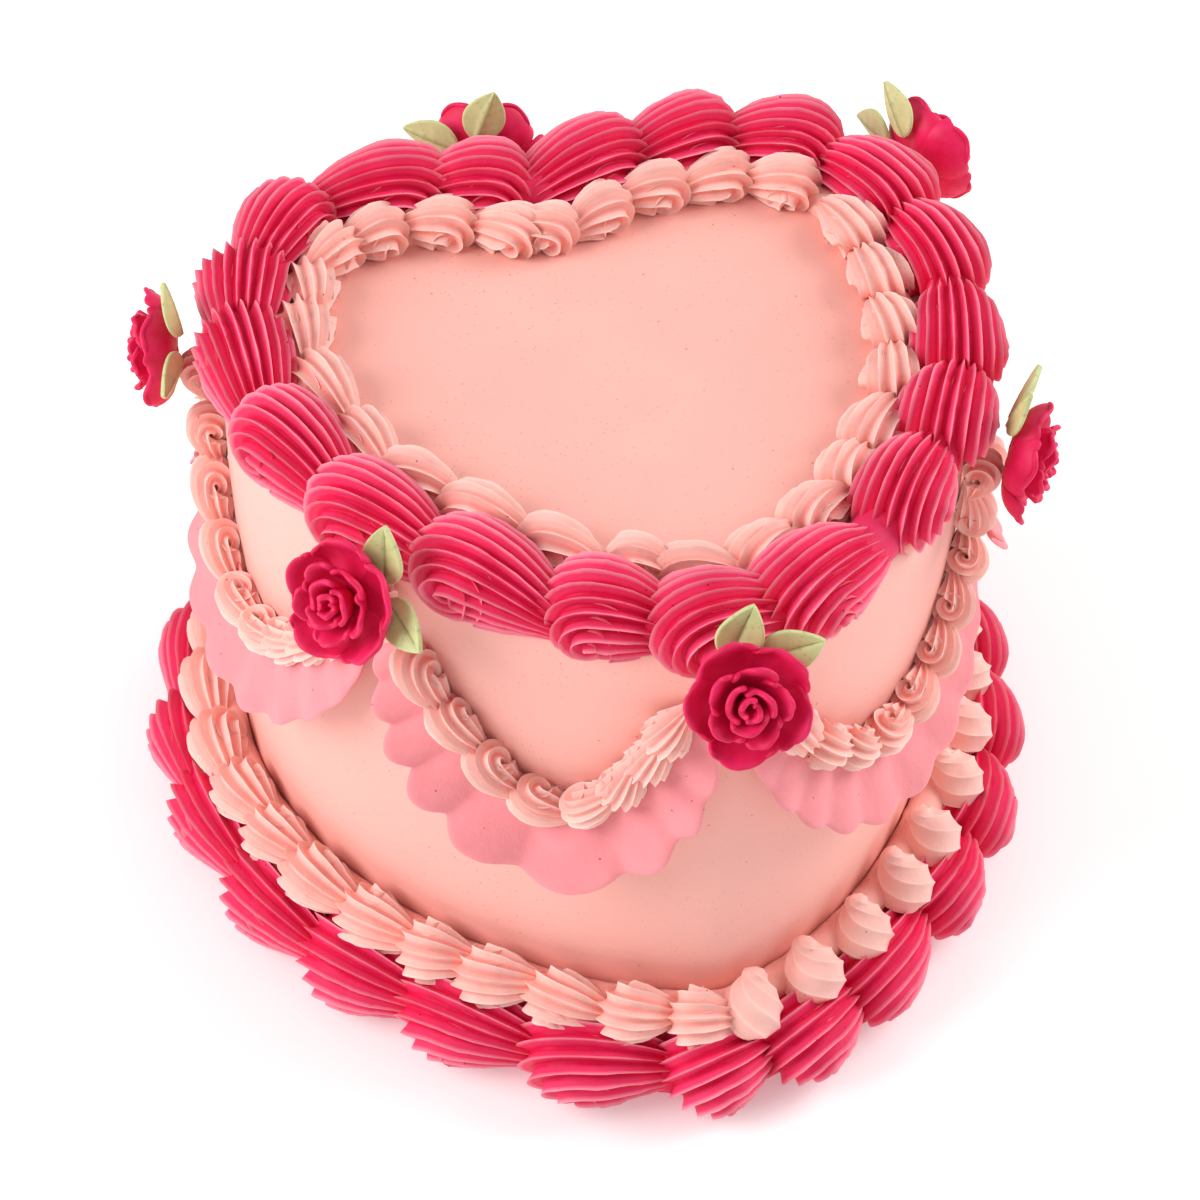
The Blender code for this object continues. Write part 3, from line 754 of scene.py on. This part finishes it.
def border(row, finish):
    """One row of shells round the cake."""
    shells = shell_models(row["name"], SHELL_STAGES, row["radius"], row["ridges"], row["flutes"],
                          row["steps"], row["twists"], row["thin"])
    drops = []
    if row["node"] == "base_collar":
        drops = shell_models("drop", DROP_STAGES, DROP_RADIUS, DROP_RIDGES, DROP_FLUTES, DROP_STEPS,
                             DROP_TWISTS)
        soften_painted_light(drops, *DROP_PAINTED_LIGHT)
    guide = Guide(row["guide"])
    places = filled(row["places"], guide.length, row["count"])
    piped = shell_row(row, shells, guide, places, drops)
    whole = joined(row["name"], [piped, rope(row["name"] + "_filling", guide, *row["rope"])])
    uneven(whole, row["name"] + "_uneven", *row["ripple"])
    uneven(whole, row["name"] + "_torn", TORN_SIZE, TORN_STRENGTH)
    flatten_under(whole, UNDERSIDE)
    smooth(whole, RIDGE_ANGLE)
    dress(whole, finish, row["node"])
    removed([*shells, *drops])


class SwagLine:
    """The line of one swag on the wall, from just beyond one rose to just before the next."""

    def __init__(self, first, last, sag, shift):
        self.start, self.first = first
        self.span, self.last = last[0] - first[0], last[1]
        self.sag, self.shift = sag, shift
        steps = round(self.span / SWAG_STEP)
        self.shares = np.linspace(0.0, 1.0, steps + 1)
        lengths = np.hypot(self.span / steps, np.diff(self.height(self.shares)))
        self.lengths = np.concatenate([[0.0], np.cumsum(lengths)])
        self.length = self.lengths[-1]

    def height(self, share):
        sag = self.sag + self.shift * (2 * share - 1)
        return self.first + (self.last - self.first) * share - sag * 4 * share * (1 - share)

    def spot(self, distance):
        """(along the wall, height, slope angle) this far along the swag."""
        share = float(np.interp(distance, self.lengths, self.shares))
        before, after = max(share - SLOPE_STEP, 0.0), min(share + SLOPE_STEP, 1.0)
        slope = (self.height(after) - self.height(before)) / ((after - before) * self.span)
        return self.start + self.span * share, self.height(share), math.atan(slope)

    def point(self, wall, distance, across, out):
        """A point beside the swag: across is up and away from its hollow side, out is from the wall."""
        along, up, angle = self.spot(distance)
        return wall.place(along - across * math.sin(angle), out, up + across * math.cos(angle))


def swag(name, wall, line, shells, finish, node, leading):
    """A row of small shells that hangs on the wall."""
    count = round(line.length / SWAG_PITCH)
    spots = []
    for i in range(count):
        share = (i + 0.40) / count
        distance = line.length * share * (1 + SWAG_EASE * (1 - share))
        spots.append((*line.spot(distance), 1 + SWAG_EASE * (1 - 2 * share)))
    if leading:
        along, up, heading = leading
        spots.append((along, up, math.radians(heading), 1.0))
    placed = []
    for along, up, angle, stretch in spots:
        normal = wall.normal(along)
        forward = (wall.along(along) * math.cos(angle) + Vector((0, 0, 1)) * math.sin(angle)).normalized()
        middle = wall.place(along, 0.72 * SWAG_RADIUS, up)
        placement = axes_matrix(middle, forward, normal.cross(forward), normal)
        turned = Matrix.Rotation(math.radians(draw.uniform(-9, 9)), 4, "Z")
        turned = turned @ Matrix.Rotation(math.radians(draw.uniform(-14, 14)), 4, "X")
        size = Matrix.Diagonal((stretch, *[draw.uniform(0.97, 1.07) for _ in range(2)], 1.0))
        placed.append(copied(shells[draw.randrange(len(shells))], placement @ turned @ size))
    row = joined(name, placed)
    uneven(row, name + "_uneven", 0.004, 0.5 * MM)
    smooth(row, RIDGE_ANGLE)
    dress(row, finish, node)


def frill(name, wall, line, ruffle, finish, node):
    """A thin wavy frill whose upper edge lies under the swag."""
    bpy.ops.object.select_all(action="DESELECT")
    bpy.ops.mesh.primitive_grid_add(x_subdivisions=FRILL_ALONG, y_subdivisions=FRILL_ACROSS, size=1)
    piece = bpy.context.object
    piece.name = name
    waves = line.length / FRILL_PERIOD
    shift = draw.uniform(0, 6.3)
    for vertex in piece.data.vertices:
        share = min(max(vertex.co.x + 0.5, 0.0), 1.0)
        down = 0.5 - vertex.co.y
        spread = max(math.sin(math.pi * share), 0.0) ** 0.5
        fade = ruffle * spread * (1.0 - 0.6 * share)
        width = FRILL_END_WIDTH + (FRILL_WIDTH - FRILL_END_WIDTH) * spread
        turn = 2 * math.pi * waves * share + shift + 0.8 * math.sin(5 * share + shift)
        wave = FRILL_WAVE * fade * math.sin(turn) * down**1.2
        flare = FRILL_FLARE * spread * down**1.5
        longer = 1 + 0.07 * math.sin(turn + 0.6) * fade
        slide = -1.0 * MM * math.cos(turn) * down * fade
        across = FRILL_TUCK - (width + FRILL_TUCK) * down * longer
        out = FRILL_GAP + max(flare + wave, 0.0)
        vertex.co = line.point(wall, line.length * share + slide, across, out)
    thickened(piece, 0.9 * MM, 1)
    uneven(piece, name + "_uneven", 0.005, 0.35 * MM)
    smooth(piece, SOFT_ANGLE)
    dress(piece, finish, node)


# Sugar roses


def petal(name, rows, half_width, curl, tuck):
    """One petal. curl lifts one of its sides, and tuck brings one side in under the next petal."""
    bpy.ops.object.select_all(action="DESELECT")
    bpy.ops.mesh.primitive_grid_add(x_subdivisions=PETAL_COLUMNS, y_subdivisions=len(rows) - 1, size=1)
    piece = bpy.context.object
    piece.name = name
    for vertex in piece.data.vertices:
        row = round((vertex.co.y + 0.5) * (len(rows) - 1))
        distance, height, width = rows[row]
        side = vertex.co.x * 2
        share = row / (len(rows) - 1)
        distance *= 1 + tuck * side * share
        distance *= 1 - 0.17 * side**2 * share - 0.05 * (1 - abs(side)) ** 2 * share
        height += curl * side * share + 0.0006 * math.sin(side * 5 + 1) * share
        angle = side * half_width * width
        vertex.co = (distance * math.sin(angle), distance * math.cos(angle), height)
    thickened(piece, 1.15 * MM, 2)
    return piece


# Rows of each kind of petal, from its foot to its rim: (distance from the rose's axis, height, share of the
# full width)
OUTER_ROWS = (
    (0.0008, 0.0004, 1.00),
    (0.0044, 0.0007, 1.00),
    (0.0080, 0.0013, 1.00),
    (0.0102, 0.0031, 0.99),
    (0.0113, 0.0050, 0.93),
    (0.0119, 0.0057, 0.82),
    (0.0122, 0.0050, 0.66),
)
MIDDLE_ROWS = (
    (0.0008, 0.0014, 1.00),
    (0.0034, 0.0022, 1.00),
    (0.0056, 0.0042, 1.00),
    (0.0068, 0.0064, 0.96),
    (0.0077, 0.0076, 0.82),
    (0.0083, 0.0077, 0.60),
)
INNER_ROWS = (
    (0.0006, 0.0020, 1.00),
    (0.0022, 0.0034, 1.00),
    (0.0034, 0.0060, 1.00),
    (0.0040, 0.0082, 0.96),
    (0.0045, 0.0089, 0.80),
)
BUD_ROWS = (
    (0.0004, 0.0030, 1.00),
    (0.0014, 0.0060, 1.00),
    (0.0018, 0.0086, 1.00),
    (0.0020, 0.0094, 0.90),
)


# The rose's whorls: rows of a petal, half its width in degrees, how many, the turn of the first, and the
# petal's curl and tuck
WHORLS = {
    "outer": (OUTER_ROWS, 41, 5, 0, 0.7 * MM, 0.06),
    "middle": (MIDDLE_ROWS, 44, 5, 36, 0.5 * MM, 0.12),
    "inner": (INNER_ROWS, 72, 3, 20, 0.4 * MM, 0.24),
    "bud": (BUD_ROWS, 100, 2, 70, 0.3 * MM, 0.30),
}
PETAL_COLUMNS = 10


def sugar_rose():
    """A rose that faces +Z: three whorls of petals round a bud."""
    petals = []
    for name, (rows, half_width, count, first, curl, tuck) in WHORLS.items():
        model = petal(name, rows, math.radians(half_width), curl, tuck)
        for i in range(count):
            turn = math.radians(first) + 2 * math.pi * i / count + draw.uniform(-0.06, 0.06)
            size = draw.uniform(0.96, 1.04)
            turned = Matrix.Rotation(turn, 4, "Z")
            petals.append(copied(model, turned @ Matrix.Diagonal((size, size, 1, 1))))
        removed([model])
    rose = joined("rose_model", petals)
    smooth(rose, SOFT_ANGLE)
    return rose


def sugar_leaf():
    """A leaf along +Y, folded along its midrib, with side veins pressed in."""
    bpy.ops.object.select_all(action="DESELECT")
    bpy.ops.mesh.primitive_grid_add(x_subdivisions=LEAF_COLUMNS, y_subdivisions=LEAF_ROWS, size=1)
    leaf = bpy.context.object
    vein = leaf.data.attributes.new("crest", "FLOAT", "POINT")
    for i, vertex in enumerate(leaf.data.vertices):
        along = vertex.co.y + 0.5
        side = vertex.co.x * 2
        half = LEAF_WIDTH / 2 * math.sin(math.pi * along**0.80) ** 0.80 + 0.0004 * (1 - along)
        ridge = abs(math.sin((along * 5.2 - abs(side) * 0.9) * math.pi))
        groove = math.exp(-((side / 0.13) ** 2))
        pressed = 0.0005 * groove + 0.00022 * (1 - ridge) ** 2 * (1 - abs(side)) * (1 - groove)
        height = 0.0010 * abs(side) * math.sin(math.pi * along) - pressed + 0.0012 * along**2
        vertex.co = (side * half, LEAF_LENGTH * along, height)
        vein.data[i].value = 1 - max(groove, (1 - ridge) ** 3 * 0.8)
    thickened(leaf, 0.9 * MM, 1)
    smooth(leaf, LEAF_ANGLE)
    return leaf


def leaf_finish():
    """Pale green sugar leaf, darker along the veins."""
    made, tree, shader = node_tree("leaf_sugar")
    place = tree.nodes.new("ShaderNodeTexCoord").outputs["Object"]
    height = add_node(tree, "ShaderNodeAttribute", attribute_name="crest").outputs["Fac"]
    body = ramp(tree, height, ((0.0, (0.40, 0.44, 0.17)), (0.7, (0.64, 0.68, 0.32))))
    cloud = ramp(tree, noise(tree, place, 3 * MM), ((0.3, (0.86, 0.88, 0.84)), (0.7, (1.0, 1.0, 1.0))))
    tree.links.new(mixed(tree, "MULTIPLY", 1.0, body, cloud), shader.inputs["Base Color"])
    tree.links.new(bumped(tree, noise(tree, place, 0.6 * MM), 0.4, 0.08 * MM), shader.inputs["Normal"])
    shader.inputs["Roughness"].default_value = 0.55
    return made


def roses_and_swags(finishes):
    """The six roses with their leaves and dabs, and the six swags with their frills."""
    wall = Guide(0.0)
    rose_model, leaf_model = sugar_rose(), sugar_leaf()
    shells = shell_models("swag", SHELL_STAGES, SWAG_RADIUS, SWAG_RIDGES, SWAG_FLUTES, SWAG_STAGES,
                          SWAG_TWISTS, SWAG_THIN)
    for number, (place, hanging, ruffle) in enumerate(zip(ROSES, SWAGS, RUFFLES), 1):
        along, up, back, degrees, leaves = place
        out = wall.normal(along)
        right = Vector((0, 0, 1)).cross(out)
        anchor = axes_matrix(wall.place(along, 0.0, up), right, Vector((0, 0, 1)), out)
        tilted = Matrix.Rotation(-math.radians(degrees), 4, "X")
        seat = anchor @ Matrix.Translation((0, 0, back)) @ tilted
        rose = copied(rose_model, seat @ Matrix.Rotation(draw.uniform(0, 6.28), 4, "Z"))
        rose.name = f"sugar_rose_{number}"
        settle(rose)
        dress(rose, finishes["rose_sugar"], f"rose_{number}")
        for letter, (start, turn) in zip("ab", leaves):
            leaf = copied(leaf_model, seat @ leaf_place(start, turn))
            leaf.name = f"sugar_leaf_{number}{letter}"
            settle(leaf)
            dress(leaf, finishes["leaf_sugar"], f"leaf_{number}{letter}")
        reach = back + DAB_BELOW * math.sin(math.radians(degrees)) + DAB_OVERLAP
        dab_behind(number, anchor, up, reach, shells[0], finishes["peach_icing"])
        line = SwagLine(*hanging)
        swag(f"swag_shells_{number}", wall, line, shells, finishes["peach_icing"], f"swag_{number}",
             LEADING_SHELLS.get(number))
        frill(f"piped_frill_{number}", wall, line, ruffle, finishes["frill_icing"], f"frill_{number}")
    removed([rose_model, leaf_model, *shells])


def leaf_place(start, turn):
    """Where a leaf lies behind its rose: start is the direction of its foot, and turn its own."""
    return (Matrix.Rotation(-math.radians(start), 4, "Z")
            @ Matrix.Translation((0.0, LEAF_START, -LEAF_BEHIND))
            @ Matrix.Rotation(-math.radians(turn - start), 4, "Z")
            @ Matrix.Rotation(LEAF_LIFT, 4, "X"))


def dab_behind(number, anchor, up, reach, shell, finish):
    """A dab of icing that carries a rose: a short shell, head up, as deep as the gap behind the rose."""
    low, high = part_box(f"rose_dab_{number}")
    lower = (low[2] + high[2]) / 2 - up
    dab = copied(shell, anchor
                 @ Matrix.Translation((0.0, lower, reach / 2))
                 @ Matrix.Rotation(math.radians(-90), 4, "Z")
                 @ Matrix.Translation((-DAB_RISE, 0.0, 0.0))
                 @ Matrix.Diagonal((DAB_LENGTH, DAB_WIDTH, reach / SHELL_DEPTH / SWAG_RADIUS, 1.0)))
    dab.name = f"icing_dab_{number}"
    settle(dab)
    dress(dab, finish, f"rose_dab_{number}")


# Floor, light and camera

CAMERA_AZIMUTH, CAMERA_ELEVATION = math.radians(-17.40), math.radians(47.61)
CAMERA_DISTANCE = 0.7199
CAMERA_ROLL = math.radians(2.24)
CAMERA_TARGET = Vector((-0.0016, 0.0050, 0.0594))
LENS = 104.05
FLOOR_SIZE, FLOOR_DROP = 6.0, 0.3 * MM
FLOOR_GLOW = 0.22
STUDIO_LIGHT = 0.46
WINDOW_SIZE = 1.0
WINDOW_TARGET = Vector((0, 0, 0.06))
WINDOWS = {"left_window": ((-1.26, 0.0, 0.88), 18.5), "right_window": ((1.26, 0.07, 0.88), 16.5)}


def camera():
    """The camera, at the photograph's angle."""
    back = Vector((
        math.sin(CAMERA_AZIMUTH) * math.cos(CAMERA_ELEVATION),
        -math.cos(CAMERA_AZIMUTH) * math.cos(CAMERA_ELEVATION),
        math.sin(CAMERA_ELEVATION),
    ))
    right = (-back).cross(Vector((0, 0, 1))).normalized()
    up = right.cross(-back)
    turned_right = right * math.cos(CAMERA_ROLL) + up * math.sin(CAMERA_ROLL)
    turned_up = -right * math.sin(CAMERA_ROLL) + up * math.cos(CAMERA_ROLL)
    data = bpy.data.cameras.new("camera")
    data.lens = LENS
    data.sensor_width = 36.0
    made = bpy.data.objects.new("camera", data)
    bpy.context.scene.collection.objects.link(made)
    made.matrix_world = axes_matrix(CAMERA_TARGET + back * CAMERA_DISTANCE, turned_right, turned_up, back)
    bpy.context.scene.camera = made


def window(name, place, power):
    """A soft light that faces the cake."""
    data = bpy.data.lights.new(name, "AREA")
    data.energy = power
    data.size = WINDOW_SIZE
    lamp = bpy.data.objects.new(name, data)
    bpy.context.scene.collection.objects.link(lamp)
    lamp.location = place
    lamp.rotation_euler = (WINDOW_TARGET - Vector(place)).to_track_quat("-Z", "Y").to_euler()


def studio():
    """A plain pale floor under soft light."""
    bpy.ops.object.select_all(action="DESELECT")
    bpy.ops.mesh.primitive_plane_add(size=FLOOR_SIZE, location=(0, 0, -FLOOR_DROP))
    floor = bpy.context.object
    floor.name = "floor"
    settle(floor)
    made, tree, shader = node_tree("floor_paper")
    place = tree.nodes.new("ShaderNodeTexCoord").outputs["Object"]
    shades = ((0.3, (0.90, 0.90, 0.90)), (0.7, (0.93, 0.93, 0.93)))
    tree.links.new(ramp(tree, noise(tree, place, 0.3), shades), shader.inputs["Base Color"])
    shader.inputs["Roughness"].default_value = 0.8
    shader.inputs["Emission Color"].default_value = (1.0, 1.0, 1.0, 1.0)
    shader.inputs["Emission Strength"].default_value = FLOOR_GLOW
    floor.data.materials.append(made)
    bpy.context.scene.view_settings.view_transform = "Standard"
    world = bpy.data.worlds.new("studio")
    bpy.context.scene.world = world
    world.use_nodes = True
    background = world.node_tree.nodes["Background"]
    background.inputs["Color"].default_value = (1.0, 0.99, 0.985, 1.0)
    background.inputs["Strength"].default_value = STUDIO_LIGHT
    for name, (place, power) in WINDOWS.items():
        window(name, place, power)


def main():
    finishes = {
        # Each icing: painted crest highlight, its own middle colour, painted flute shade, painted shade in
        # the air holes, roughness and subsurface weight
        "peach_icing": icing("peach_icing", (1.0, 0.70, 0.63), (1.0, 0.57, 0.50), (1.0, 0.37, 0.32),
                             (0.62, 0.14, 0.12), 0.5, 0.1),
        "hot_pink_icing": icing("hot_pink_icing", (1.0, 0.36, 0.45), (0.89, 0.052, 0.165),
                                (0.70, 0.0, 0.055), (0.34, 0.0, 0.02), 0.5, 0.0),
        "frill_icing": icing("frill_icing", (0.95, 0.38, 0.41), (0.92, 0.33, 0.355), (0.91, 0.31, 0.335),
                             (0.62, 0.05, 0.12), 0.5, 0.12),
        "rose_sugar": sugar_paste("rose_sugar", (0.84, 0.018, 0.125), (0.70, 0.007, 0.07), 0.5, 0.07 * MM),
        "leaf_sugar": leaf_finish(),
    }
    # The blush icing: its colour, a deeper mottle, and the speck colour that is also painted shade in the
    # pits
    blush = smooth_icing("blush_icing", (0.95, 0.475, 0.41), (0.93, 0.45, 0.39), (0.72, 0.20, 0.16))
    cake_body(blush)
    for row in ROWS:
        border(row, finishes[row["slot"]])
    roses_and_swags(finishes)
    studio()
    camera()


main()
